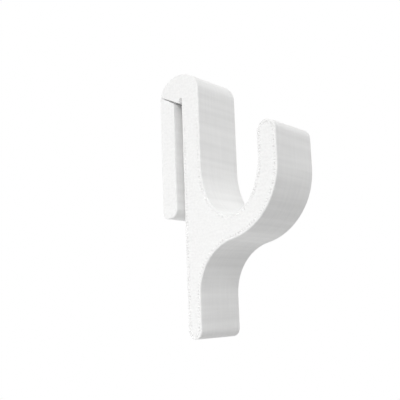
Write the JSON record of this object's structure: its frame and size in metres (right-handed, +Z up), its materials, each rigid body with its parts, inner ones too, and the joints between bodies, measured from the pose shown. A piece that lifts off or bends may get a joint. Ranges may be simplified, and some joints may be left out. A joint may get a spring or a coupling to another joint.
{
  "type": "over-panel shower hook",
  "caption": "Printed plastic hook that hangs over the top edge of a shower panel, with a domed cap, a sprung rear lip, a deep U-shaped arm and a tail resting on the panel.",
  "frame": {"origin": "middle of the slot, on the rib of its ceiling where the panel's top edge seats", "axes": "+Z up, +X out of the front of the hook, Y across its width"},
  "size_m": [0.0584, 0.024, 0.1091],
  "materials": {
    "white_print": "filament print, satin sides with fine layer lines, stippled print faces"
  },
  "bodies": {
    "hook": {"hook_body": "white_print", "hinge_web": "white_print"},
    "lip": {"rear_lip": "white_print"}
  },
  "joints": [
    {"name": "lip_flex", "type": "hinge", "parent": "hook", "child": "lip", "pos_m": [-0.0093, 0, 0.00375], "axis": [0, 1, 0], "range_deg": [-4, 8], "stiffness_Nm_per_rad": 1, "deforming": ["hinge_web"]}
  ]
}
